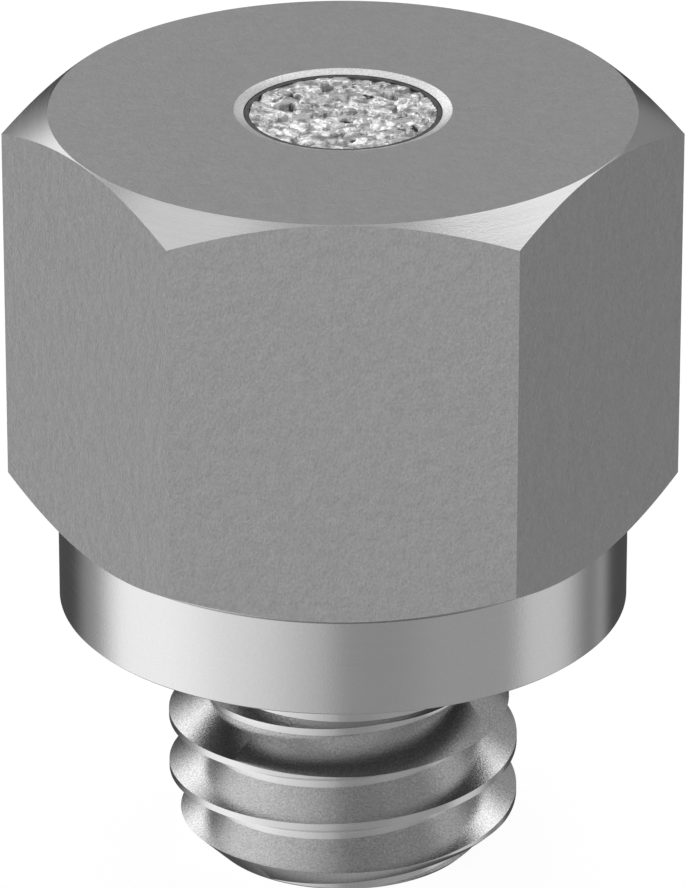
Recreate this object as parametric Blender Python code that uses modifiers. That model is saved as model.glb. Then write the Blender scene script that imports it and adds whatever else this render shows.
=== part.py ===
"""Pneumatic muffler for a 10-32 port, as an assembly of seven separate pieces.

Air comes up the bore of the threaded base, spreads through the baffle plate into the packed
chamber of the hexagon housing, and leaves through the sintered disc in the top face.

Frame: metres, +Z towards the outlet. The origin is the centre of the seating face, the flat
underside of the collar. Two corners of the hexagon lie on the X axis.
"""

import math

import bmesh
import bpy
from mathutils import Matrix

MM = 0.001

# Hexagon housing
HEX_ACROSS_FLATS = 7.9375 * MM      # 5/16 inch spanner size
HEX_HEIGHT = 5.72 * MM
HEX_CHAMFER_ANGLE = math.radians(30)
HEX_FACE_RELIEF = 0.01 * MM         # the turned end faces stop this far inside the flats
HOUSING_WALL = 1.37 * MM            # from the chamber to the middle of a flat
WEB_THICKNESS = 0.52 * MM           # between the chamber and the outlet bore
MOUTH_CHAMFER = 0.12 * MM

# Outlet in the top face
OUTLET_BORE_RADIUS = 1.334 * MM
OUTLET_BEVEL_WIDTH = 0.125 * MM
OUTLET_BEVEL_DEPTH = 0.04 * MM
OUTLET_SEAT_WIDTH = 0.33 * MM       # ledge that carries the disc
OUTLET_SEAT_DEPTH = 1.05 * MM

# Sintered disc and the ring that holds it
DISC_SINK = 0.05 * MM               # the disc and ring lie this far below the top face
DISC_SHOULDER_DEPTH = 0.30 * MM
RING_WALL = 0.055 * MM

# Threaded base
COLLAR_STEP = 0.069 * MM            # the collar is turned this far inside the flats
COLLAR_HEIGHT = 1.37 * MM
SPIGOT_LENGTH = 1.20 * MM
SPIGOT_CHAMFER = 0.10 * MM
NECK_LENGTH = 1.13 * MM
NECK_RELIEF = 0.047 * MM            # the neck is turned this far below the thread's root
PORT_LENGTH = 3.70 * MM             # seating face to tip
BORE_RADIUS = 1.10 * MM
BORE_CHAMFER = 0.12 * MM
FLARE_WIDTH = 0.70 * MM             # 45 degree mouth at the top of the bore

# 10-32 UNF external thread, right hand
THREAD_MAJOR_RADIUS = 2.413 * MM
THREAD_PITCH = 25.4 / 32 * MM
THREAD_HALF_ANGLE = math.radians(30)
THREAD_CREST_HEIGHT = -1.46 * MM    # height of a crest where it crosses the +X side
THREAD_END_CHAMFER = 0.553 * MM
THREAD_CUTTER_RELIEF = 0.04 * MM    # the cutter reaches this far outside the crests

# Pieces inside the chamber
BAFFLE_THICKNESS = 0.30 * MM
BAFFLE_HOLE_RADIUS = 0.22 * MM
BAFFLE_HOLE_INSET = 0.55 * MM       # hole centres to the edge of the bore's flared mouth
BAFFLE_HOLE_COUNT = 8
PACKING_EDGE_RADIUS = 0.30 * MM

# Port seal, an O-ring in a groove in the seating face
SEAL_CORD_RADIUS = 0.40 * MM
SEAL_RIM_WALL = 0.43 * MM           # between the groove and the edge of the collar
SEAL_PROUD = 0.16 * MM              # how far the relaxed ring stands out of its groove
SEAL_SIDE_ROOM = 0.05 * MM

# Clearances between neighbours
PRESS_GAP = 0.03 * MM               # drawn gap of the pressed joint between base and housing
FINE_GAP = 0.01 * MM                # drawn gap of the small pressed pieces and of the seal
LOOSE_GAP = 0.05 * MM               # round the pieces that lie in the chamber

# Fineness of the round shapes
TURN_STEPS = 60
HOLE_STEPS = 16
EDGE_STEPS = 4
SEAL_CORD_STEPS = 16
SHARP_ANGLE = math.radians(30)
CUT_MARGIN = 0.02 * MM              # how far a cutter runs past the face it cuts
MERGE_DISTANCE = 0.0005 * MM

# Heights worked out from the sizes above
HEX_BOTTOM = COLLAR_HEIGHT + PRESS_GAP
HEX_TOP = HEX_BOTTOM + HEX_HEIGHT
OUTLET_SEAT = HEX_TOP - OUTLET_SEAT_DEPTH
CHAMBER_ROOF = OUTLET_SEAT - WEB_THICKNESS
SPIGOT_TOP = HEX_BOTTOM + SPIGOT_LENGTH
TIP = -PORT_LENGTH
BAFFLE_BOTTOM = SPIGOT_TOP + PRESS_GAP
BAFFLE_TOP = BAFFLE_BOTTOM + BAFFLE_THICKNESS

# Radii worked out from the sizes above
CHAMBER_RADIUS = HEX_ACROSS_FLATS / 2 - HOUSING_WALL
COLLAR_RADIUS = HEX_ACROSS_FLATS / 2 - COLLAR_STEP
THREAD_DEPTH = THREAD_PITCH * 3 / 8 / math.tan(THREAD_HALF_ANGLE)
THREAD_ROOT_RADIUS = THREAD_MAJOR_RADIUS - THREAD_DEPTH
NECK_RADIUS = THREAD_ROOT_RADIUS - NECK_RELIEF
FLARE_RADIUS = BORE_RADIUS + FLARE_WIDTH
BAFFLE_HOLE_CIRCLE = FLARE_RADIUS - BAFFLE_HOLE_INSET
SEAL_CENTRE_RADIUS = COLLAR_RADIUS - SEAL_RIM_WALL - SEAL_SIDE_ROOM - SEAL_CORD_RADIUS
SPIGOT_RADIUS = CHAMBER_RADIUS - PRESS_GAP
CHAMBER_FILL_RADIUS = CHAMBER_RADIUS - LOOSE_GAP
DISC_RADIUS = OUTLET_BORE_RADIUS - FINE_GAP
RING_INNER_RADIUS = DISC_RADIUS - RING_WALL
DISC_TOP_RADIUS = RING_INNER_RADIUS - FINE_GAP


def clear_scene():
    for obj in list(bpy.data.objects):
        bpy.data.objects.remove(obj, do_unlink=True)


def new_collection(name):
    collection = bpy.data.collections.new(name)
    bpy.context.scene.collection.children.link(collection)
    return collection


def metal(name, colour, roughness, metallic=1.0):
    material = bpy.data.materials.new(name)
    material.use_nodes = True
    shader = material.node_tree.nodes["Principled BSDF"]
    shader.inputs["Base Color"].default_value = (*colour, 1.0)
    shader.inputs["Roughness"].default_value = roughness
    shader.inputs["Metallic"].default_value = metallic
    return material


def add_object(name, data, collection):
    obj = bpy.data.objects.new(name, data)
    collection.objects.link(obj)
    return obj


def turned(name, outline, collection, closed):
    """A lathe shape. The outline is (radius, height) points, down the outer side first."""
    last = len(outline) - 1
    edges = [(i, i + 1) for i in range(last)]
    if closed:
        edges.append((last, 0))
    mesh = bpy.data.meshes.new(name)
    mesh.from_pydata([(radius, 0.0, height) for radius, height in outline], edges, [])
    obj = add_object(name, mesh, collection)
    screw = obj.modifiers.new("Turn", "SCREW")
    screw.axis = "Z"
    screw.angle = math.tau
    screw.steps = TURN_STEPS
    screw.render_steps = TURN_STEPS
    screw.use_merge_vertices = True
    screw.merge_threshold = MERGE_DISTANCE
    return obj


def add_boolean(obj, tool, operation):
    modifier = obj.modifiers.new(tool.name, "BOOLEAN")
    modifier.operation = operation
    modifier.solver = "EXACT"
    modifier.object = tool
    tool.hide_render = True
    tool.display_type = "WIRE"


def finish(obj, material):
    """Freeze the modifiers into the mesh, shade its round faces smooth and give it a material."""
    graph = bpy.context.evaluated_depsgraph_get()
    mesh = bpy.data.meshes.new_from_object(obj.evaluated_get(graph))
    obj.modifiers.clear()
    obj.data = mesh
    mesh.name = obj.name
    mesh.shade_smooth()
    mesh.set_sharp_from_angle(angle=SHARP_ANGLE)
    mesh.materials.clear()
    mesh.materials.append(material)
    return obj


def build_hex_housing(parts, cutters, material):
    """Hexagon bar with 30 degree chamfers, bored from below for the packing and from above
    for the disc, with a web left between the two bores."""
    corner_radius = HEX_ACROSS_FLATS / math.sqrt(3)
    bar = bmesh.new()
    bmesh.ops.create_cone(
        bar,
        cap_ends=True,
        segments=6,
        radius1=corner_radius,
        radius2=corner_radius,
        depth=HEX_HEIGHT,
        matrix=Matrix.Translation((0, 0, HEX_BOTTOM + HEX_HEIGHT / 2)) @ Matrix.Rotation(math.pi / 2, 4, "Z"),
    )
    mesh = bpy.data.meshes.new("hex_housing")
    bar.to_mesh(mesh)
    bar.free()
    housing = add_object("hex_housing", mesh, parts)

    slope = math.tan(HEX_CHAMFER_ANGLE)
    face_radius = HEX_ACROSS_FLATS / 2 - HEX_FACE_RELIEF
    end_radius = face_radius - CUT_MARGIN / slope
    outer_radius = corner_radius + CUT_MARGIN
    drop = (outer_radius - face_radius) * slope
    envelope = turned(
        "hex_chamfer_envelope",
        [
            (0, HEX_TOP + CUT_MARGIN),
            (end_radius, HEX_TOP + CUT_MARGIN),
            (outer_radius, HEX_TOP - drop),
            (outer_radius, HEX_BOTTOM + drop),
            (end_radius, HEX_BOTTOM - CUT_MARGIN),
            (0, HEX_BOTTOM - CUT_MARGIN),
        ],
        cutters,
        closed=False,
    )

    bevel_run_out = CUT_MARGIN * OUTLET_BEVEL_WIDTH / OUTLET_BEVEL_DEPTH
    web_radius = OUTLET_BORE_RADIUS - OUTLET_SEAT_WIDTH
    bores = turned(
        "housing_bores",
        [
            (0, HEX_TOP + CUT_MARGIN),
            (OUTLET_BORE_RADIUS + OUTLET_BEVEL_WIDTH + bevel_run_out, HEX_TOP + CUT_MARGIN),
            (OUTLET_BORE_RADIUS, HEX_TOP - OUTLET_BEVEL_DEPTH),
            (OUTLET_BORE_RADIUS, OUTLET_SEAT),
            (web_radius, OUTLET_SEAT),
            (web_radius, CHAMBER_ROOF),
            (CHAMBER_RADIUS, CHAMBER_ROOF),
            (CHAMBER_RADIUS, HEX_BOTTOM + MOUTH_CHAMFER),
            (CHAMBER_RADIUS + MOUTH_CHAMFER + CUT_MARGIN, HEX_BOTTOM - CUT_MARGIN),
            (0, HEX_BOTTOM - CUT_MARGIN),
        ],
        cutters,
        closed=False,
    )
    add_boolean(housing, envelope, "INTERSECT")
    add_boolean(housing, bores, "DIFFERENCE")
    return finish(housing, material)


def build_thread_cutter(cutters):
    """The helical groove between the crests: a flat-bottomed V carried up and round the axis."""
    outer_radius = THREAD_MAJOR_RADIUS + THREAD_CUTTER_RELIEF
    root_half_width = THREAD_PITCH / 16
    outer_half_width = THREAD_PITCH * 7 / 16 + THREAD_CUTTER_RELIEF * math.tan(THREAD_HALF_ANGLE)

    first_groove = THREAD_CREST_HEIGHT - THREAD_PITCH / 2
    turns_below = math.ceil((first_groove + outer_half_width - TIP) / THREAD_PITCH)
    start = first_groove - turns_below * THREAD_PITCH
    steps = round((-NECK_LENGTH / 2 - start) / THREAD_PITCH * TURN_STEPS)

    groove = bmesh.new()
    section = [
        (outer_radius, start - outer_half_width),
        (outer_radius, start + outer_half_width),
        (THREAD_ROOT_RADIUS, start + root_half_width),
        (THREAD_ROOT_RADIUS, start - root_half_width),
    ]
    face = groove.faces.new([groove.verts.new((radius, 0, height)) for radius, height in section])
    bmesh.ops.spin(
        groove,
        geom=[face, *face.edges, *face.verts],
        axis=(0, 0, 1),
        cent=(0, 0, 0),
        dvec=(0, 0, THREAD_PITCH / TURN_STEPS),
        angle=math.tau * steps / TURN_STEPS,
        steps=steps,
    )
    bmesh.ops.recalc_face_normals(groove, faces=groove.faces)
    mesh = bpy.data.meshes.new("thread_groove")
    groove.to_mesh(mesh)
    groove.free()
    return add_object("thread_groove", mesh, cutters)


def build_threaded_base(parts, cutters, material):
    """Spigot, collar with the seal groove, undercut neck and threaded port, all on one bore."""
    groove_outer = SEAL_CENTRE_RADIUS + SEAL_CORD_RADIUS + SEAL_SIDE_ROOM
    groove_inner = SEAL_CENTRE_RADIUS - SEAL_CORD_RADIUS - SEAL_SIDE_ROOM
    groove_depth = 2 * SEAL_CORD_RADIUS - SEAL_PROUD + FINE_GAP
    base = turned(
        "threaded_base",
        [
            (FLARE_RADIUS, SPIGOT_TOP),
            (SPIGOT_RADIUS - SPIGOT_CHAMFER, SPIGOT_TOP),
            (SPIGOT_RADIUS, SPIGOT_TOP - SPIGOT_CHAMFER),
            (SPIGOT_RADIUS, COLLAR_HEIGHT),
            (COLLAR_RADIUS, COLLAR_HEIGHT),
            (COLLAR_RADIUS, 0),
            (groove_outer, 0),
            (groove_outer, groove_depth),
            (groove_inner, groove_depth),
            (groove_inner, 0),
            (NECK_RADIUS, 0),
            (NECK_RADIUS, -NECK_LENGTH),
            (THREAD_MAJOR_RADIUS, -NECK_LENGTH - (THREAD_MAJOR_RADIUS - NECK_RADIUS)),
            (THREAD_MAJOR_RADIUS, TIP + THREAD_END_CHAMFER),
            (THREAD_MAJOR_RADIUS - THREAD_END_CHAMFER, TIP),
            (BORE_RADIUS + BORE_CHAMFER, TIP),
            (BORE_RADIUS, TIP + BORE_CHAMFER),
            (BORE_RADIUS, SPIGOT_TOP - FLARE_WIDTH),
        ],
        parts,
        closed=True,
    )
    add_boolean(base, build_thread_cutter(cutters), "DIFFERENCE")
    return finish(base, material)


def build_outlet_disc(parts, material):
    """Sintered disc with a shoulder round its top edge, on which the ring bears."""
    top = HEX_TOP - DISC_SINK
    shoulder = top - DISC_SHOULDER_DEPTH - FINE_GAP
    disc = turned(
        "outlet_disc",
        [
            (0, top),
            (DISC_TOP_RADIUS, top),
            (DISC_TOP_RADIUS, shoulder),
            (DISC_RADIUS, shoulder),
            (DISC_RADIUS, OUTLET_SEAT + FINE_GAP),
            (0, OUTLET_SEAT + FINE_GAP),
        ],
        parts,
        closed=False,
    )
    return finish(disc, material)


def build_retaining_ring(parts, material):
    """Thin ring pressed into the outlet bore on top of the disc's shoulder."""
    top = HEX_TOP - DISC_SINK
    bottom = top - DISC_SHOULDER_DEPTH
    ring = turned(
        "retaining_ring",
        [
            (DISC_RADIUS, top),
            (DISC_RADIUS, bottom),
            (RING_INNER_RADIUS, bottom),
            (RING_INNER_RADIUS, top),
        ],
        parts,
        closed=True,
    )
    return finish(ring, material)


def circle_spline(curve, radius, centre, steps):
    spline = curve.splines.new("POLY")
    spline.points.add(steps - 1)
    for i, point in enumerate(spline.points):
        angle = math.tau * i / steps
        point.co = (centre[0] + radius * math.cos(angle), centre[1] + radius * math.sin(angle), 0, 1)
    spline.use_cyclic_u = True


def build_baffle_plate(parts, material):
    """Flat plate on the spigot with a circle of holes over the flared mouth of the bore."""
    curve = bpy.data.curves.new("baffle_outline", "CURVE")
    curve.dimensions = "2D"
    curve.fill_mode = "BOTH"
    curve.extrude = BAFFLE_THICKNESS / 2
    circle_spline(curve, CHAMBER_FILL_RADIUS, (0, 0), TURN_STEPS)
    for i in range(BAFFLE_HOLE_COUNT):
        angle = math.tau * i / BAFFLE_HOLE_COUNT
        centre = (BAFFLE_HOLE_CIRCLE * math.cos(angle), BAFFLE_HOLE_CIRCLE * math.sin(angle))
        circle_spline(curve, BAFFLE_HOLE_RADIUS, centre, HOLE_STEPS)
    outline = add_object("baffle_outline", curve, parts)
    graph = bpy.context.evaluated_depsgraph_get()
    mesh = bpy.data.meshes.new_from_object(outline.evaluated_get(graph))
    bpy.data.objects.remove(outline)

    plate = bmesh.new()
    plate.from_mesh(mesh)
    bmesh.ops.remove_doubles(plate, verts=plate.verts, dist=MERGE_DISTANCE)
    plate.to_mesh(mesh)
    plate.free()
    baffle = add_object("baffle_plate", mesh, parts)
    baffle.location = (0, 0, (BAFFLE_BOTTOM + BAFFLE_TOP) / 2)
    return finish(baffle, material)


def build_silencer_packing(parts, material):
    """Fibre plug that fills the chamber between the baffle plate and the web."""
    top = CHAMBER_ROOF - LOOSE_GAP
    bottom = BAFFLE_TOP + LOOSE_GAP
    inner = CHAMBER_FILL_RADIUS - PACKING_EDGE_RADIUS
    quarter = [math.pi / 2 * i / EDGE_STEPS for i in range(EDGE_STEPS + 1)]
    rise = [PACKING_EDGE_RADIUS * (1 - math.cos(angle)) for angle in quarter]
    reach = [PACKING_EDGE_RADIUS * math.sin(angle) for angle in quarter]
    upper = [(inner + out, top - down) for out, down in zip(reach, rise)]
    lower = [(inner + out, bottom + up) for out, up in zip(reversed(reach), reversed(rise))]
    packing = turned("silencer_packing", [(0, top), *upper, *lower, (0, bottom)], parts, closed=False)
    return finish(packing, material)


def build_port_seal(parts, material):
    """O-ring in the groove of the seating face, standing a little proud of it."""
    bpy.ops.mesh.primitive_torus_add(
        major_radius=SEAL_CENTRE_RADIUS,
        minor_radius=SEAL_CORD_RADIUS,
        major_segments=TURN_STEPS,
        minor_segments=SEAL_CORD_STEPS,
        location=(0, 0, SEAL_CORD_RADIUS - SEAL_PROUD),
    )
    seal = bpy.context.object
    seal.name = "port_seal"
    for collection in list(seal.users_collection):
        collection.objects.unlink(seal)
    parts.objects.link(seal)
    return finish(seal, material)


def main():
    clear_scene()
    parts = new_collection("pneumatic_muffler")
    cutters = new_collection("cutters")

    pieces = [
        build_hex_housing(parts, cutters, metal("satin_stainless", (0.50, 0.50, 0.50), 0.38)),
        build_threaded_base(parts, cutters, metal("turned_stainless", (0.62, 0.62, 0.62), 0.25)),
        build_outlet_disc(parts, metal("sintered_stainless", (0.70, 0.70, 0.69), 0.55)),
        build_retaining_ring(parts, metal("dark_ring", (0.08, 0.08, 0.08), 0.45)),
        build_baffle_plate(parts, metal("plain_stainless", (0.45, 0.45, 0.45), 0.35)),
        build_silencer_packing(parts, metal("steel_fibre", (0.33, 0.33, 0.32), 0.80)),
        build_port_seal(parts, metal("seal_rubber", (0.02, 0.02, 0.02), 0.55, metallic=0.0)),
    ]

    assembly = bpy.data.objects.new("muffler_axis", None)
    parts.objects.link(assembly)
    for piece in pieces:
        piece.parent = assembly


main()
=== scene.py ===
"""Looks of the pneumatic muffler: milled, turned and sintered stainless steel around the CAD frame.

Sizes are in millimetres and turned into metres by MM. The axis of the muffler is Z, the outlet
points up, the seating face of the collar is at height 0, and two hexagon corners lie on X.
"""

import math
import random

import bmesh
import bpy
from mathutils import Matrix, Vector, kdtree, noise


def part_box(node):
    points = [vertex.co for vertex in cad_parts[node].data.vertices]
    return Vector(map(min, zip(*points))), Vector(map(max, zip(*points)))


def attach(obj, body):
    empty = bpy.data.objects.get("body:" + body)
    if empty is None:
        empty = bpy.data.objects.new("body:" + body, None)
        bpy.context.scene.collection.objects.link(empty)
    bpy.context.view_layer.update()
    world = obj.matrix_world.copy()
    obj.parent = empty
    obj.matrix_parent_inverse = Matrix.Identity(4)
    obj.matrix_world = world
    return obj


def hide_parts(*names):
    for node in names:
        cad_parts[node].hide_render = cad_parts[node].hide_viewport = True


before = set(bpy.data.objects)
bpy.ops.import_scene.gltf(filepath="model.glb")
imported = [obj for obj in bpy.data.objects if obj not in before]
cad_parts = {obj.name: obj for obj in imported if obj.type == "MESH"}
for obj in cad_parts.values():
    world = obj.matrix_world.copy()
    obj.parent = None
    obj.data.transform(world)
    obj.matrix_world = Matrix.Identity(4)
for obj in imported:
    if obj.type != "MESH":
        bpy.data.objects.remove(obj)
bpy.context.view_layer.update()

MM = 0.001

# ------------------------------------------------------------------ sizes taken from the frame
hex_low, hex_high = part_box("hex_housing")
base_low, base_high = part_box("threaded_base")
disc_low, disc_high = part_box("outlet_disc")
ring_low, ring_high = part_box("retaining_ring")
baffle_low, baffle_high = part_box("baffle_plate")
packing_low, packing_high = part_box("silencer_packing")
seal_low, seal_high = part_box("port_seal")

CORNER_RADIUS = hex_high.x
FLAT_RADIUS = hex_high.y
HEX_TOP = hex_high.z
HEX_BOTTOM = hex_low.z
COLLAR_RADIUS = base_high.x
SPIGOT_TOP = base_high.z
TIP = base_low.z
DISC_RADIUS = disc_high.x
DISC_TOP = disc_high.z
SEAL_CENTRE = (seal_low.z + seal_high.z) / 2
SEAL_CORD_RADIUS = (seal_high.z - seal_low.z) / 2
SEAL_RING_RADIUS = seal_high.x - SEAL_CORD_RADIUS

# ------------------------------------------------------------------ sizes that match the CAD
HEX_CHAMFER_SLOPE = math.tan(math.radians(30))
HEX_FACE_RELIEF = 0.01 * MM
CHAMBER_RADIUS = FLAT_RADIUS - 1.37 * MM
OUTLET_BORE_RADIUS = DISC_RADIUS + 0.01 * MM
OUTLET_BEVEL_WIDTH = 0.125 * MM
OUTLET_BEVEL_DEPTH = 0.04 * MM
OUTLET_SEAT = disc_low.z - 0.01 * MM
WEB_RADIUS = OUTLET_BORE_RADIUS - 0.33 * MM
CHAMBER_ROOF = OUTLET_SEAT - 0.52 * MM
MOUTH_CHAMFER = 0.12 * MM

COLLAR_TOP = HEX_BOTTOM - 0.03 * MM
SPIGOT_RADIUS = CHAMBER_RADIUS - 0.03 * MM
SPIGOT_CHAMFER = 0.10 * MM
BORE_RADIUS = 1.10 * MM
BORE_CHAMFER = 0.12 * MM
FLARE_WIDTH = 0.70 * MM
NECK_LENGTH = 1.13 * MM
THREAD_MAJOR_RADIUS = 2.413 * MM
THREAD_PITCH = 25.4 / 32 * MM
THREAD_FLANK = math.tan(math.radians(30))
THREAD_ROOT_RADIUS = THREAD_MAJOR_RADIUS - THREAD_PITCH * 3 / 8 / THREAD_FLANK
THREAD_CREST_HEIGHT = -1.46 * MM
THREAD_END_CHAMFER = 0.553 * MM
NECK_RADIUS = THREAD_ROOT_RADIUS - 0.047 * MM
SEAL_GROOVE_ROOM = 0.05 * MM
SEAL_GROOVE_DEPTH = seal_high.z + 0.01 * MM

RING_INNER_RADIUS = ring_high.x - 0.055 * MM
DISC_TOP_RADIUS = RING_INNER_RADIUS - 0.01 * MM
DISC_SHOULDER = ring_low.z - 0.01 * MM
RING_FILL = 0.006 * MM
RING_EDGE = 0.006 * MM

# ------------------------------------------------------------------ fineness of the meshes
TURN_STEPS = 240
EDGE_BREAK = 0.02 * MM
SHARP_ANGLE = math.radians(25)


# ------------------------------------------------------------------ mesh helpers
def piece_from(bm, name):
    """Close the seams, turn the faces outwards and make the object."""
    bmesh.ops.remove_doubles(bm, verts=bm.verts, dist=0.0002 * MM)
    bmesh.ops.recalc_face_normals(bm, faces=bm.faces)
    mesh = bpy.data.meshes.new(name)
    bm.to_mesh(mesh)
    bm.free()
    obj = bpy.data.objects.new(name, mesh)
    bpy.context.scene.collection.objects.link(obj)
    return obj


def spun(outline, closed, steps=TURN_STEPS):
    """A bmesh turned about Z from (radius, height) points."""
    bm = bmesh.new()
    verts = [bm.verts.new((radius, 0, height)) for radius, height in outline]
    pairs = list(zip(verts, verts[1:]))
    if closed:
        pairs.append((verts[-1], verts[0]))
    edges = [bm.edges.new(pair) for pair in pairs]
    bmesh.ops.spin(
        bm,
        geom=[*verts, *edges],
        cent=(0, 0, 0),
        axis=(0, 0, 1),
        angle=math.tau,
        steps=steps,
        use_merge=True,
    )
    bmesh.ops.remove_doubles(bm, verts=bm.verts, dist=0.0002 * MM)
    bmesh.ops.recalc_face_normals(bm, faces=bm.faces)
    return bm


def smooth(obj, angle=SHARP_ANGLE):
    obj.data.shade_smooth()
    obj.data.set_sharp_from_angle(angle=angle)
    return obj


def dress(obj, materials, slot, *nodes):
    for material in materials:
        obj.data.materials.append(material)
    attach(obj, "root")
    if nodes:
        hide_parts(*nodes)
    return obj


# ------------------------------------------------------------------ node helpers
def new_material(name):
    material = bpy.data.materials.new(name)
    material.use_nodes = True
    tree = material.node_tree
    return material, tree, tree.nodes["Principled BSDF"]


def add_node(tree, kind, settings=None, inputs=None):
    node = tree.nodes.new(kind)
    for key, value in (settings or {}).items():
        setattr(node, key, value)
    for key, value in (inputs or {}).items():
        if isinstance(value, bpy.types.NodeSocket):
            tree.links.new(value, node.inputs[key])
        else:
            node.inputs[key].default_value = value
    return node


def maths(tree, operation, first, second=0.0):
    return add_node(tree, "ShaderNodeMath", {"operation": operation}, {0: first, 1: second}).outputs[0]


def fine_noise(tree, scale, detail=3.0, roughness=0.55, lean=(0, 0, 0)):
    """Noise on Object coordinates. scale is cycles per millimetre along X, Y and Z, and lean
    turns the pattern by degrees about them."""
    place = add_node(tree, "ShaderNodeTexCoord").outputs["Object"]
    if any(lean):
        turn = {"Vector": place, "Rotation": [math.radians(angle) for angle in lean]}
        place = add_node(tree, "ShaderNodeMapping", None, turn).outputs["Vector"]
    stretched = add_node(
        tree, "ShaderNodeMapping", None, {"Vector": place, "Scale": [s / MM for s in scale]}
    ).outputs["Vector"]
    return add_node(
        tree,
        "ShaderNodeTexNoise",
        None,
        {"Vector": stretched, "Scale": 1.0, "Detail": detail, "Roughness": roughness},
    ).outputs["Fac"]


def remap(tree, value, from_low, from_high, to_low, to_high):
    node = add_node(
        tree,
        "ShaderNodeMapRange",
        None,
        {"Value": value, "From Min": from_low, "From Max": from_high, "To Min": to_low, "To Max": to_high},
    )
    return node.outputs["Result"]


def colour_between(tree, factor, dark, light):
    """A grey between dark and light, by factor."""
    ramp = add_node(tree, "ShaderNodeValToRGB", None, {"Fac": factor})
    ramp.color_ramp.elements[0].color = (dark, dark, dark, 1)
    ramp.color_ramp.elements[1].color = (light, light, light, 1)
    return ramp.outputs["Color"]


def add_bump(tree, shader, height, depth, strength=1.0):
    bump = add_node(
        tree, "ShaderNodeBump", None, {"Height": height, "Distance": depth, "Strength": strength}
    )
    tree.links.new(bump.outputs["Normal"], shader.inputs["Normal"])


# ------------------------------------------------------------------ materials
def satin_steel():
    """Bead-blasted hexagon bar: a fine sparkling grain, drawn out a little along the bar."""
    material, tree, shader = new_material("satin_stainless")
    shader.inputs["Metallic"].default_value = 1.0
    grain = fine_noise(tree, (32, 32, 20), detail=3, lean=(7, 11, 0))
    peel = fine_noise(tree, (6, 6, 5), detail=2)
    speck = fine_noise(tree, (36, 36, 36), detail=1)
    tone = maths(tree, "ADD", maths(tree, "MULTIPLY", peel, 0.3), maths(tree, "MULTIPLY", grain, 0.8))
    tone = maths(tree, "ADD", tone, remap(tree, speck, 0.70, 0.80, 0.0, 0.9))
    tree.links.new(colour_between(tree, remap(tree, tone, 0.2, 1.5, 0, 1), 0.355, 0.64), shader.inputs["Base Color"])
    tree.links.new(remap(tree, grain, 0.3, 0.7, 0.44, 0.54), shader.inputs["Roughness"])
    relief = maths(tree, "ADD", grain, maths(tree, "MULTIPLY", peel, 1.6))
    add_bump(tree, shader, relief, 0.004 * MM)
    return material


def turned_steel(name, dark, light):
    """Smooth lathe finish: bright, with very fine rings about the axis and a faint grain."""
    material, tree, shader = new_material(name)
    shader.inputs["Metallic"].default_value = 1.0
    rings = fine_noise(tree, (0.4, 0.4, 70), detail=2)
    grain = fine_noise(tree, (30, 30, 30), detail=2)
    tree.links.new(colour_between(tree, grain, dark, light), shader.inputs["Base Color"])
    tree.links.new(remap(tree, rings, 0.3, 0.7, 0.16, 0.22), shader.inputs["Roughness"])
    relief = maths(tree, "ADD", grain, maths(tree, "MULTIPLY", rings, 0.05))
    add_bump(tree, shader, relief, 0.0011 * MM)
    return material


def cut_thread_steel():
    """The flanks that the threading tool leaves: a sparkling, slightly torn grain."""
    material, tree, shader = new_material("cut_thread")
    shader.inputs["Metallic"].default_value = 1.0
    grain = fine_noise(tree, (36, 36, 36), detail=3, roughness=0.7)
    tree.links.new(
        colour_between(tree, remap(tree, grain, 0.3, 0.7, 0, 1), 0.46, 0.82), shader.inputs["Base Color"]
    )
    tree.links.new(remap(tree, grain, 0.3, 0.7, 0.14, 0.20), shader.inputs["Roughness"])
    add_bump(tree, shader, grain, 0.002 * MM)
    return material


def countersink_highlight_steel():
    """The outlet's narrow countersink, in a steel brighter than the chamfers: its light band is a painted highlight."""
    material, tree, shader = new_material("countersink_highlight_stainless")
    shader.inputs["Metallic"].default_value = 1.0
    countersink_highlight_tone = fine_noise(tree, (30, 30, 10), detail=4)
    tree.links.new(colour_between(tree, remap(tree, countersink_highlight_tone, 0.3, 0.6, 0, 1), 0.62, 0.86), shader.inputs["Base Color"])
    tree.links.new(remap(tree, countersink_highlight_tone, 0.3, 0.7, 0.38, 0.28), shader.inputs["Roughness"])
    add_bump(tree, shader, countersink_highlight_tone, 0.003 * MM)
    return material


def sintered_steel():
    """Fused bright grains. The attribute read here is 1 deep between the grains and darkens the base colour there:
    painted shade in the hollows.
    """
    material, tree, shader = new_material("sintered_stainless")
    shader.inputs["Metallic"].default_value = 1.0
    pore_shade = add_node(tree, "ShaderNodeAttribute", {"attribute_name": "pore_shade"}).outputs["Fac"]
    mottle = fine_noise(tree, (5.5, 5.5, 5.5), detail=4, roughness=0.6)
    tone = maths(tree, "SUBTRACT", remap(tree, mottle, 0.40, 0.54, 0.34, 1.0), pore_shade)
    tree.links.new(colour_between(tree, tone, 0.10, 1.0), shader.inputs["Base Color"])
    tree.links.new(remap(tree, mottle, 0.3, 0.7, 0.42, 0.24), shader.inputs["Roughness"])
    add_bump(tree, shader, mottle, 0.010 * MM)
    return material


def dark_steel():
    """Near-black steel of the retaining ring."""
    material, tree, shader = new_material("dark_ring")
    shader.inputs["Metallic"].default_value = 1.0
    wear = fine_noise(tree, (9, 9, 9), detail=4)
    tree.links.new(colour_between(tree, remap(tree, wear, 0.35, 0.7, 0, 1), 0.10, 0.19), shader.inputs["Base Color"])
    tree.links.new(remap(tree, wear, 0.3, 0.7, 0.5, 0.35), shader.inputs["Roughness"])
    add_bump(tree, shader, wear, 0.003 * MM)
    return material


def plain_steel():
    """Rolled sheet of the baffle plate."""
    material, tree, shader = new_material("plain_stainless")
    shader.inputs["Metallic"].default_value = 1.0
    roll = fine_noise(tree, (25, 2, 2), detail=3)
    tree.links.new(colour_between(tree, roll, 0.42, 0.56), shader.inputs["Base Color"])
    tree.links.new(remap(tree, roll, 0.3, 0.7, 0.28, 0.42), shader.inputs["Roughness"])
    add_bump(tree, shader, roll, 0.002 * MM)
    return material


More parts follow.
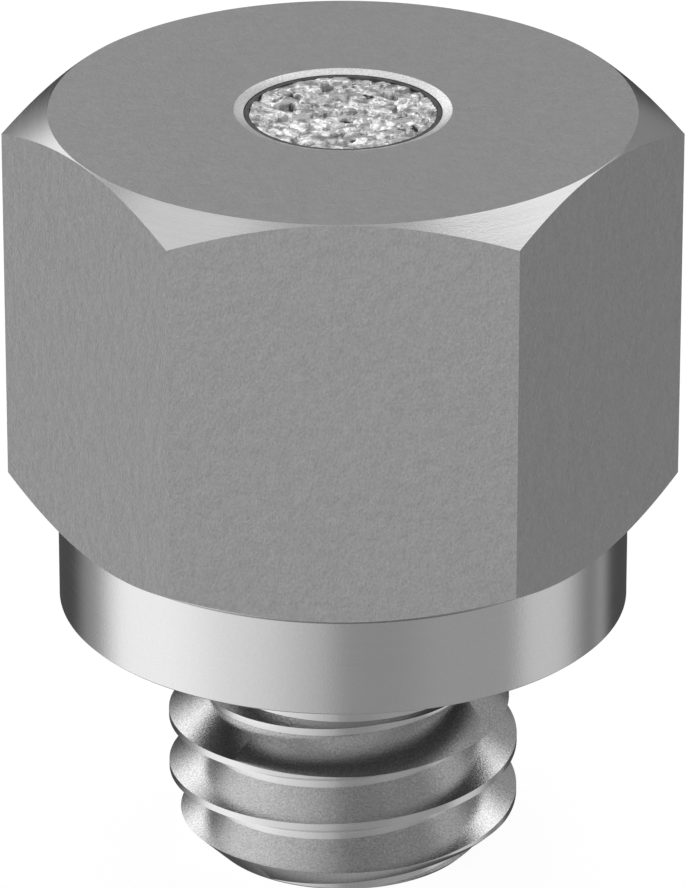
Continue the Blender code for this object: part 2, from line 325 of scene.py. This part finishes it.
def steel_wool():
    """Pressed fibres of the packing."""
    material, tree, shader = new_material("steel_fibre")
    shader.inputs["Metallic"].default_value = 0.9
    fibre = fine_noise(tree, (30, 6, 14), detail=5, roughness=0.7)
    tree.links.new(colour_between(tree, remap(tree, fibre, 0.35, 0.65, 0, 1), 0.05, 0.5), shader.inputs["Base Color"])
    tree.links.new(remap(tree, fibre, 0.3, 0.7, 0.75, 0.45), shader.inputs["Roughness"])
    add_bump(tree, shader, fibre, 0.03 * MM)
    return material


def seal_rubber():
    """Matt black moulded rubber with a faint bloom."""
    material, tree, shader = new_material("seal_rubber")
    bloom = fine_noise(tree, (6, 6, 6), detail=5)
    tree.links.new(colour_between(tree, remap(tree, bloom, 0.35, 0.7, 0, 1), 0.055, 0.095), shader.inputs["Base Color"])
    tree.links.new(remap(tree, bloom, 0.3, 0.7, 0.45, 0.62), shader.inputs["Roughness"])
    add_bump(tree, shader, bloom, 0.004 * MM)
    return material


def floor_paper():
    """Evenly lit white paper, with only a trace of the light that falls on it."""
    material, tree, shader = new_material("floor_paper")
    fleck = fine_noise(tree, (0.05, 0.05, 0.05))
    tree.links.new(colour_between(tree, fleck, 0.16, 0.18), shader.inputs["Base Color"])
    shader.inputs["Roughness"].default_value = 0.9
    shader.inputs["Specular IOR Level"].default_value = 0.0
    shader.inputs["Emission Color"].default_value = (1, 1, 1, 1)
    shader.inputs["Emission Strength"].default_value = 0.92
    return material


# ------------------------------------------------------------------ hexagon housing
def hexagon_radius(angle):
    """Distance from the axis to the hexagon, with corners at 0, 60, 120 degrees and on."""
    from_flat = angle % (math.pi / 3) - math.pi / 6
    return FLAT_RADIUS / math.cos(from_flat)


def make_hex_shell(satin, shaded_chamfer, countersink_highlight):
    """The shell is turned as a round bar first. Its wall is then pressed out to the hexagon, and
    the chamfers run down their 30 degree cones to meet it."""
    face_radius = FLAT_RADIUS - HEX_FACE_RELIEF
    rim_radius = OUTLET_BORE_RADIUS + OUTLET_BEVEL_WIDTH
    wall = CORNER_RADIUS
    drop = (wall - face_radius) * HEX_CHAMFER_SLOPE
    lip = 0.004 * MM
    outline = [
        (rim_radius, HEX_TOP - lip),
        (rim_radius + 2 * lip, HEX_TOP),
        (face_radius, HEX_TOP),
        (wall, HEX_TOP - drop),
        (wall, HEX_BOTTOM + drop),
        (face_radius, HEX_BOTTOM),
        (CHAMBER_RADIUS + MOUTH_CHAMFER, HEX_BOTTOM),
        (CHAMBER_RADIUS, HEX_BOTTOM + MOUTH_CHAMFER),
        (CHAMBER_RADIUS, CHAMBER_ROOF),
        (WEB_RADIUS, CHAMBER_ROOF),
        (WEB_RADIUS, OUTLET_SEAT),
        (OUTLET_BORE_RADIUS, OUTLET_SEAT),
        (OUTLET_BORE_RADIUS, HEX_TOP - OUTLET_BEVEL_DEPTH - lip),
        (OUTLET_BORE_RADIUS + lip, HEX_TOP - OUTLET_BEVEL_DEPTH),
    ]
    bm = spun(outline, closed=True)
    middle = (HEX_TOP + HEX_BOTTOM) / 2
    for vert in bm.verts:
        radius = math.hypot(vert.co.x, vert.co.y)
        if radius < (face_radius + wall) / 2:
            continue
        reach = hexagon_radius(math.atan2(vert.co.y, vert.co.x))
        fall = (reach - face_radius) * HEX_CHAMFER_SLOPE
        vert.co.x *= reach / radius
        vert.co.y *= reach / radius
        vert.co.z = HEX_TOP - fall if vert.co.z > middle else HEX_BOTTOM + fall
    for face in bm.faces:
        centre = face.calc_center_median()
        radius = math.hypot(centre.x, centre.y)
        on_flat = abs(face.normal.z) < 0.01 and radius > face_radius
        on_top = face.normal.z > 0.99 and radius > rim_radius and centre.z > middle
        # The countersink faces take the brighter steel of slot 2, a painted highlight.
        on_countersink = centre.z > HEX_TOP - 1.1 * OUTLET_BEVEL_DEPTH and radius < rim_radius + lip
        face.material_index = 0 if on_flat or on_top else 2 if on_countersink else 1
    shell = smooth(piece_from(bm, "hexagon_shell"))
    return dress(shell, [satin, shaded_chamfer, countersink_highlight], "satin_stainless", "hex_housing")


# ------------------------------------------------------------------ threaded base
def thread_groove():
    """The helical groove between the crests, as a solid that is cut from the turned base."""
    reach = 0.04 * MM
    outer_radius = THREAD_MAJOR_RADIUS + reach
    root_half = THREAD_PITCH / 16
    outer_half = THREAD_PITCH * 7 / 16 + reach * THREAD_FLANK
    first = THREAD_CREST_HEIGHT - THREAD_PITCH / 2
    start = first - math.ceil((first + outer_half - TIP) / THREAD_PITCH) * THREAD_PITCH
    steps = round((-NECK_LENGTH / 2 - start) / THREAD_PITCH * TURN_STEPS)
    bm = bmesh.new()
    corners = [
        (outer_radius, start - outer_half),
        (outer_radius, start + outer_half),
        (THREAD_ROOT_RADIUS, start + root_half),
        (THREAD_ROOT_RADIUS, start - root_half),
    ]
    section = bm.faces.new([bm.verts.new((radius, 0, height)) for radius, height in corners])
    bmesh.ops.spin(
        bm,
        geom=[section, *section.edges, *section.verts],
        cent=(0, 0, 0),
        axis=(0, 0, 1),
        dvec=(0, 0, THREAD_PITCH / TURN_STEPS),
        angle=math.tau * steps / TURN_STEPS,
        steps=steps,
    )
    return piece_from(bm, "thread_groove")


def make_base_fitting(turned, cut_thread):
    groove_outer = SEAL_RING_RADIUS + SEAL_CORD_RADIUS + SEAL_GROOVE_ROOM
    groove_inner = SEAL_RING_RADIUS - SEAL_CORD_RADIUS - SEAL_GROOVE_ROOM
    shoulder = THREAD_MAJOR_RADIUS - NECK_RADIUS
    outline = [
        (BORE_RADIUS + FLARE_WIDTH, SPIGOT_TOP),
        (SPIGOT_RADIUS - SPIGOT_CHAMFER, SPIGOT_TOP),
        (SPIGOT_RADIUS, SPIGOT_TOP - SPIGOT_CHAMFER),
        (SPIGOT_RADIUS, COLLAR_TOP),
        (COLLAR_RADIUS - EDGE_BREAK, COLLAR_TOP),
        (COLLAR_RADIUS, COLLAR_TOP - EDGE_BREAK),
        (COLLAR_RADIUS, EDGE_BREAK),
        (COLLAR_RADIUS - EDGE_BREAK, 0),
        (groove_outer, 0),
        (groove_outer, SEAL_GROOVE_DEPTH),
        (groove_inner, SEAL_GROOVE_DEPTH),
        (groove_inner, 0),
        (NECK_RADIUS, 0),
        (NECK_RADIUS, -NECK_LENGTH),
        (THREAD_MAJOR_RADIUS, -NECK_LENGTH - shoulder),
        (THREAD_MAJOR_RADIUS, TIP + THREAD_END_CHAMFER),
        (THREAD_MAJOR_RADIUS - THREAD_END_CHAMFER, TIP),
        (BORE_RADIUS + BORE_CHAMFER, TIP),
        (BORE_RADIUS, TIP + BORE_CHAMFER),
        (BORE_RADIUS, SPIGOT_TOP - FLARE_WIDTH),
    ]
    blank = piece_from(spun(outline, closed=True), "base_blank")
    groove = thread_groove()
    cut = blank.modifiers.new("thread", "BOOLEAN")
    cut.operation = "DIFFERENCE"
    cut.solver = "EXACT"
    cut.object = groove
    graph = bpy.context.evaluated_depsgraph_get()
    bm = bmesh.new()
    bm.from_mesh(bpy.data.meshes.new_from_object(blank.evaluated_get(graph)))
    for tool in (blank, groove):
        bpy.data.objects.remove(tool)
    fitting = smooth(piece_from(bm, "base_fitting"))
    for face in fitting.data.polygons:
        radius = math.hypot(face.center.x, face.center.y)
        on_flank = THREAD_ROOT_RADIUS < radius < THREAD_MAJOR_RADIUS and abs(face.normal.z) > 0.3
        if on_flank and face.center.z < -NECK_LENGTH / 2 and face.center.z > TIP:
            face.material_index = 1
    return dress(fitting, [turned, cut_thread], "turned_stainless", "threaded_base")


# ------------------------------------------------------------------ sintered disc
GRAIN_SEED = 11
GRAIN_SPACING = 0.13 * MM
GRAIN_VOXEL = 0.0175 * MM
GRAIN_BED_DEPTH = 0.10 * MM
PORE_COUNT = 16
PORE_RADIUS = 0.085 * MM
FLAKE_SPACING = 0.23 * MM
FLAKE_TILT = 0.34
FLAKE_DROP = 0.045 * MM
FLAKE_EDGE = 0.010 * MM
RIM_GRAINS = 84


def scattered_points(draw, radius, spacing, tries, holes=()):
    """Points in a disc, no two nearer than spacing and none in a hole."""
    points = []
    for _ in range(tries):
        distance = radius * math.sqrt(draw.random())
        angle = math.tau * draw.random()
        point = Vector((distance * math.cos(angle), distance * math.sin(angle), 0))
        if any((point - hole).length < PORE_RADIUS for hole in holes):
            continue
        if all((point - other).length > spacing for other in points):
            points.append(point)
    return points


def add_grain(bm, draw, place, size):
    """One angular crumb of powder, wider than it is high."""
    length = size * draw.uniform(1.0, 1.7)
    width = size * draw.uniform(0.75, 1.1)
    height = size * draw.uniform(0.45, 0.75)
    turn = Matrix.Rotation(draw.uniform(0, math.pi), 4, "Z")
    tilt = Matrix.Rotation(draw.uniform(-0.5, 0.5), 4, "X") @ Matrix.Rotation(draw.uniform(-0.4, 0.4), 4, "Y")
    stretch = Matrix.Diagonal((length, width, height, 1))
    made = bmesh.ops.create_icosphere(
        bm, subdivisions=1, radius=1.0, matrix=Matrix.Translation(place) @ turn @ tilt @ stretch
    )
    for vert in made["verts"]:
        vert.co = place + (vert.co - place) * draw.uniform(0.72, 1.25)


def fused(cluster, voxel):
    """One closed skin around the grains, without the few gaps enclosed between them. The voxels
    are too small for the solver in metres, so the cluster is enlarged while it works."""
    cluster.data.transform(Matrix.Scale(1 / MM, 4))
    fuse = cluster.modifiers.new("fuse", "REMESH")
    fuse.mode = "VOXEL"
    fuse.voxel_size = voxel / MM
    graph = bpy.context.evaluated_depsgraph_get()
    mesh = bpy.data.meshes.new_from_object(cluster.evaluated_get(graph))
    bpy.data.objects.remove(cluster)
    mesh.transform(Matrix.Scale(MM, 4))
    bm = bmesh.new()
    bm.from_mesh(mesh)
    start = max(bm.verts, key=lambda vert: vert.co.x)
    skin = {start}
    edge_of_skin = [start]
    while edge_of_skin:
        vert = edge_of_skin.pop()
        for edge in vert.link_edges:
            other = edge.other_vert(vert)
            if other not in skin:
                skin.add(other)
                edge_of_skin.append(other)
    enclosed = [vert for vert in bm.verts if vert not in skin]
    bmesh.ops.delete(bm, geom=enclosed, context="VERTS")
    bm.to_mesh(mesh)
    bm.free()
    return mesh


def make_sintered_disc(sintered):
    """Angular grains lie crowded on a solid bed, are fused into one skin and pressed level."""
    draw = random.Random(GRAIN_SEED)
    bed = DISC_TOP - GRAIN_BED_DEPTH
    outline = [
        (0, bed),
        (DISC_TOP_RADIUS, bed),
        (DISC_TOP_RADIUS, DISC_SHOULDER),
        (DISC_RADIUS, DISC_SHOULDER),
        (DISC_RADIUS, disc_low.z),
        (0, disc_low.z),
    ]
    bm = spun(outline, closed=False, steps=96)
    pores = scattered_points(draw, DISC_TOP_RADIUS * 0.9, 4 * PORE_RADIUS, PORE_COUNT)
    for point in scattered_points(draw, DISC_TOP_RADIUS, GRAIN_SPACING, 4000, pores):
        size = draw.uniform(0.09, 0.16) * MM
        place = point + Vector((0, 0, DISC_TOP - size * 0.45 - draw.uniform(-0.02, 0.02) * MM))
        add_grain(bm, draw, place, size)
    for index in range(RIM_GRAINS):
        angle = math.tau * index / RIM_GRAINS
        size = draw.uniform(0.06, 0.085) * MM
        rim = Vector((math.cos(angle), math.sin(angle), 0)) * (DISC_TOP_RADIUS - 0.03 * MM)
        add_grain(bm, draw, rim + Vector((0, 0, DISC_TOP - size * 0.5)), size)
    mesh = fused(piece_from(bm, "grain_cluster"), GRAIN_VOXEL)
    mesh.name = "sintered_disc"

    seeds = scattered_points(draw, DISC_TOP_RADIUS, FLAKE_SPACING, 3000)
    flakes = kdtree.KDTree(len(seeds))
    for index, seed in enumerate(seeds):
        flakes.insert(seed, index)
    flakes.balance()
    tilts = [Vector((draw.uniform(-1, 1), draw.uniform(-1, 1), 0)) * FLAKE_TILT for _ in seeds]
    drops = [draw.uniform(0, FLAKE_DROP) for _ in seeds]

    depth = mesh.attributes.new("pore_shade", "FLOAT", "POINT")
    normals = [vert.normal.copy() for vert in mesh.vertices]
    for index, vert in enumerate(mesh.vertices):
        place = vert.co.copy()
        if place.z > DISC_SHOULDER + GRAIN_VOXEL:
            crumple = noise.fractal(place / (0.08 * MM), 0.6, 2.0, 3)
            place += normals[index] * crumple * 0.006 * MM
            radius = math.hypot(place.x, place.y)
            if radius > DISC_TOP_RADIUS:
                place.x *= DISC_TOP_RADIUS / radius
                place.y *= DISC_TOP_RADIUS / radius
            ragged = noise.noise_vector(place / (0.07 * MM)) * 0.05 * MM
            ragged.z = -place.z
            seed, flake, _ = flakes.find(place + ragged)
            face = DISC_TOP - drops[flake] + tilts[flake].dot(place - seed) + crumple * 0.008 * MM
            face = min(face, DISC_TOP - FLAKE_EDGE)
            proud = place.z - face
            if proud > 0:
                place.z = face + FLAKE_EDGE * math.tanh(proud / FLAKE_EDGE)
            vert.co = place
        # The base colour is darkened by depth below the top through this attribute: painted shade between the grains.
        sunk = (DISC_TOP - 0.075 * MM - place.z) / (0.05 * MM)
        depth.data[index].value = min(1.0, max(0.0, sunk))
    disc = bpy.data.objects.new("sintered_disc", mesh)
    bpy.context.scene.collection.objects.link(disc)
    disc.data.shade_smooth()
    return dress(disc, [sintered], "sintered_stainless", "outlet_disc")


# ------------------------------------------------------------------ small round pieces
def arc(centre_radius, centre_height, radius, start, end, count):
    """Points of an arc in the (radius, height) plane, angles in degrees from +radius."""
    points = []
    for i in range(count + 1):
        angle = math.radians(start + (end - start) * i / count)
        points.append((centre_radius + radius * math.cos(angle), centre_height + radius * math.sin(angle)))
    return points


def make_press_ring(dark):
    """A thin square-edged hoop that fills the step between the disc and the outlet bore."""
    inner = RING_INNER_RADIUS - RING_FILL
    outer = ring_high.x + RING_FILL
    outline = [
        (inner + RING_EDGE, ring_high.z),
        (outer - RING_EDGE, ring_high.z),
        (outer, ring_high.z - RING_EDGE),
        (outer, ring_low.z + RING_EDGE),
        (outer - RING_EDGE, ring_low.z),
        (inner + RING_EDGE, ring_low.z),
        (inner, ring_low.z + RING_EDGE),
        (inner, ring_high.z - RING_EDGE),
    ]
    ring = smooth(piece_from(spun(outline, closed=True), "press_ring"))
    return dress(ring, [dark], "dark_ring", "retaining_ring")


def make_seal_ring(rubber):
    outline = arc(SEAL_RING_RADIUS, SEAL_CENTRE, SEAL_CORD_RADIUS, 0, 360, 32)[:-1]
    ring = smooth(piece_from(spun(outline, closed=True, steps=180), "seal_ring"))
    return dress(ring, [rubber], "seal_rubber", "port_seal")


def make_packing_plug(wool):
    """The packing, with its pressed fibres standing out a little all over."""
    radius = packing_high.x
    edge = 0.30 * MM
    outline = [(0, packing_high.z), *arc(radius - edge, packing_high.z - edge, edge, 90, 0, 6)]
    outline += [*arc(radius - edge, packing_low.z + edge, edge, 0, -90, 6), (0, packing_low.z)]
    bm = spun(outline, closed=False, steps=96)
    long_edges = [e for e in bm.edges if e.calc_length() > 0.3 * MM]
    bmesh.ops.subdivide_edges(bm, edges=long_edges, cuts=12, use_grid_fill=True)
    plug = piece_from(bm, "packing_plug")
    normals = [vert.normal.copy() for vert in plug.data.vertices]
    for vert, normal in zip(plug.data.vertices, normals):
        inward = noise.fractal(vert.co / (0.12 * MM), 0.7, 2.0, 4)
        vert.co -= normal * abs(inward) * 0.05 * MM
    plug.data.shade_smooth()
    return dress(plug, [wool], "steel_fibre", "silencer_packing")


# ------------------------------------------------------------------ stage, light and camera
def make_floor():
    bm = bmesh.new()
    bmesh.ops.create_circle(bm, cap_ends=True, segments=64, radius=600 * MM)
    bmesh.ops.translate(bm, verts=bm.verts, vec=(0, 0, TIP))
    floor = piece_from(bm, "floor")
    floor.data.materials.append(floor_paper())
    floor.visible_glossy = False
    floor.visible_diffuse = False
    floor.visible_shadow = False


# Each card is a soft box, or with a negative strength a black flag. Degrees, from the muffler:
# azimuth 0 is the front, 90 the right and 180 the back, and elevation 90 is straight above.
# name: (azimuth, left half, left softness, right half, right softness, low, high, softness, strength)
CARDS = {
    "left_wall": (-80, 30, 12, 42, 42, -62, 8, 10, 0.94),
    "left_wall_edge": (-20, 20, 15, 16, 6, -62, 8, 10, 0.18),
    "front_right_fill": (50, 20, 12, 25, 10, -62, 8, 10, 0.07),
    "front_high_fill": (0, 50, 20, 50, 20, -12, 26, 6, 0.74),
    "front_low_fill": (0, 50, 20, 50, 20, -58, -38, 6, -0.06),
    "right_strip": (88, 12, 6, 18, 9, -60, 5, 10, 0.42),
    "right_flag": (119, 5, 4, 5, 4, -60, 5, 8, -0.12),
    "right_sliver": (130, 4, 3, 4, 3, -60, 0, 10, 0.16),
    "back_flag": (180, 48, 10, 48, 10, -50, 6, 6, -0.28),
    "left_back_box": (-152, 14, 8, 14, 8, 18, 40, 8, 1.27),
    "left_top_box": (-126, 20, 10, 22, 10, 46, 74, 8, 0.76),
    "right_top_box": (134, 15, 7, 15, 7, 34, 72, 6, 1.25),
    "left_back_strip": (-168, 5, 5, 4, 4, 10, 30, 6, 0.70),
    "right_back_strip": (167, 5, 4, 5, 4, 12, 30, 6, 0.60),
    "back_top_box": (180, 32, 8, 32, 8, 47, 68, 6, 0.72),
    "ceiling": (0, 180, 0, 180, 0, 70, 90, 8, 0.30),
}
AMBIENT = 0.35


def soft_step(tree, value, middle, softness):
    """0 below middle, 1 above it, and smooth within softness on both sides. In degrees."""
    node = add_node(
        tree,
        "ShaderNodeMapRange",
        {"interpolation_type": "SMOOTHSTEP"},
        {
            "Value": value,
            "From Min": math.radians(middle - softness),
            "From Max": math.radians(middle + softness),
        },
    )
    return node.outputs["Result"]


def card_light(tree, azimuth, elevation, card):
    centre, left, left_soft, right, right_soft, low, high, softness, strength = card
    apart = maths(tree, "SUBTRACT", azimuth, math.radians(centre))
    wrapped = add_node(tree, "ShaderNodeMath", {"operation": "WRAP"}, {0: apart, 1: math.pi, 2: -math.pi})
    light = maths(tree, "MULTIPLY", soft_step(tree, elevation, low, softness), strength)
    light = maths(tree, "MULTIPLY", light, soft_step(tree, maths(tree, "MULTIPLY", elevation, -1.0), -high, softness))
    if left < 180:
        light = maths(tree, "MULTIPLY", light, soft_step(tree, wrapped.outputs[0], -left, left_soft))
        mirrored = maths(tree, "MULTIPLY", wrapped.outputs[0], -1.0)
        light = maths(tree, "MULTIPLY", light, soft_step(tree, mirrored, -right, right_soft))
    return light


def make_studio():
    """Soft boxes and one black flag on a grey surround. The backdrop itself is plain white."""
    world = bpy.data.worlds.new("studio")
    bpy.context.scene.world = world
    world.use_nodes = True
    tree = world.node_tree
    direction = add_node(tree, "ShaderNodeTexCoord").outputs["Generated"]
    axes = add_node(tree, "ShaderNodeSeparateXYZ", None, {"Vector": direction}).outputs
    azimuth = maths(tree, "ARCTAN2", axes["X"], maths(tree, "MULTIPLY", axes["Y"], -1.0))
    elevation = maths(tree, "ARCSINE", axes["Z"])
    light = AMBIENT
    for card in CARDS.values():
        light = maths(tree, "ADD", card_light(tree, azimuth, elevation, card), light)
    seen = add_node(tree, "ShaderNodeLightPath").outputs["Is Camera Ray"]
    background = tree.nodes["Background"]
    tree.links.new(maths(tree, "MAXIMUM", light, seen), background.inputs["Color"])


def make_camera():
    """A very long lens, slightly above the muffler and square to a flat."""
    target = Vector((0, 0, 2.183 * MM))
    distance = 107.84 * MM
    elevation = math.radians(24.68)
    data = bpy.data.cameras.new("camera")
    data.lens = 320.2
    data.sensor_width = 36
    data.clip_start = 5 * MM
    data.clip_end = 2000 * MM
    camera = bpy.data.objects.new("camera", data)
    bpy.context.scene.collection.objects.link(camera)
    back = Vector((0, -math.cos(elevation), math.sin(elevation)))
    camera.location = target + back * distance
    camera.rotation_mode = "QUATERNION"
    camera.rotation_quaternion = (-back).to_track_quat("-Z", "Y")
    bpy.context.scene.camera = camera


# ------------------------------------------------------------------ build
bpy.context.scene.view_settings.view_transform = "Standard"
turned = turned_steel("turned_stainless", 0.61, 0.67)
# The chamfers, bore and chamber of the hexagon shell get a darker copy of the same lathe finish: painted shade.
shaded_chamfer = turned_steel("shaded_chamfer_stainless", 0.49, 0.54)
make_camera()
make_studio()
make_floor()
make_hex_shell(satin_steel(), shaded_chamfer, countersink_highlight_steel())
make_base_fitting(turned, cut_thread_steel())
make_sintered_disc(sintered_steel())
make_press_ring(dark_steel())
make_seal_ring(seal_rubber())
make_packing_plug(steel_wool())

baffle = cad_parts["baffle_plate"]
baffle.data.materials.clear()
baffle.data.materials.append(plain_steel())
